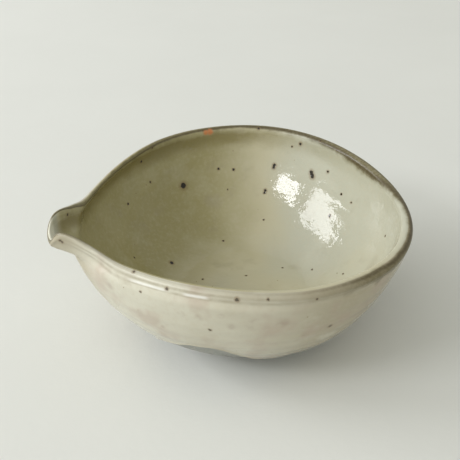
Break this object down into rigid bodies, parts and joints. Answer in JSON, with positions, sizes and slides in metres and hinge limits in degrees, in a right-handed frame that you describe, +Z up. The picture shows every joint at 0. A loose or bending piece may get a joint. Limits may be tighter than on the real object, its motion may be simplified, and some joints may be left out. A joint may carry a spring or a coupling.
{
  "type": "sake pourer",
  "caption": "Glazed stoneware katakuchi, a lipped pouring bowl for sake: a drop-shaped bowl on a foot ring, its rim pinched out into one pouring spout.",
  "frame": {"origin": "centre of the foot ring on the plane it rests on", "axes": "+Z up, the spout along -X, so +X points to the plain back of the rim and +Y to the side"},
  "size_m": [0.1293, 0.1254, 0.0545],
  "materials": {
    "clay": "unglazed fired stoneware, dry and slightly gritty",
    "foot": "unglazed fired stoneware, turned",
    "glaze_inside": "glossy semi-opaque ash glaze with iron specks",
    "glaze_outside": "glossy semi-opaque ash glaze with iron specks"
  },
  "bodies": {
    "root": {"clay_body": "clay", "foot_ring": "foot", "inside_glaze": "glaze_inside", "outside_glaze": "glaze_outside"}
  },
  "joints": []
}
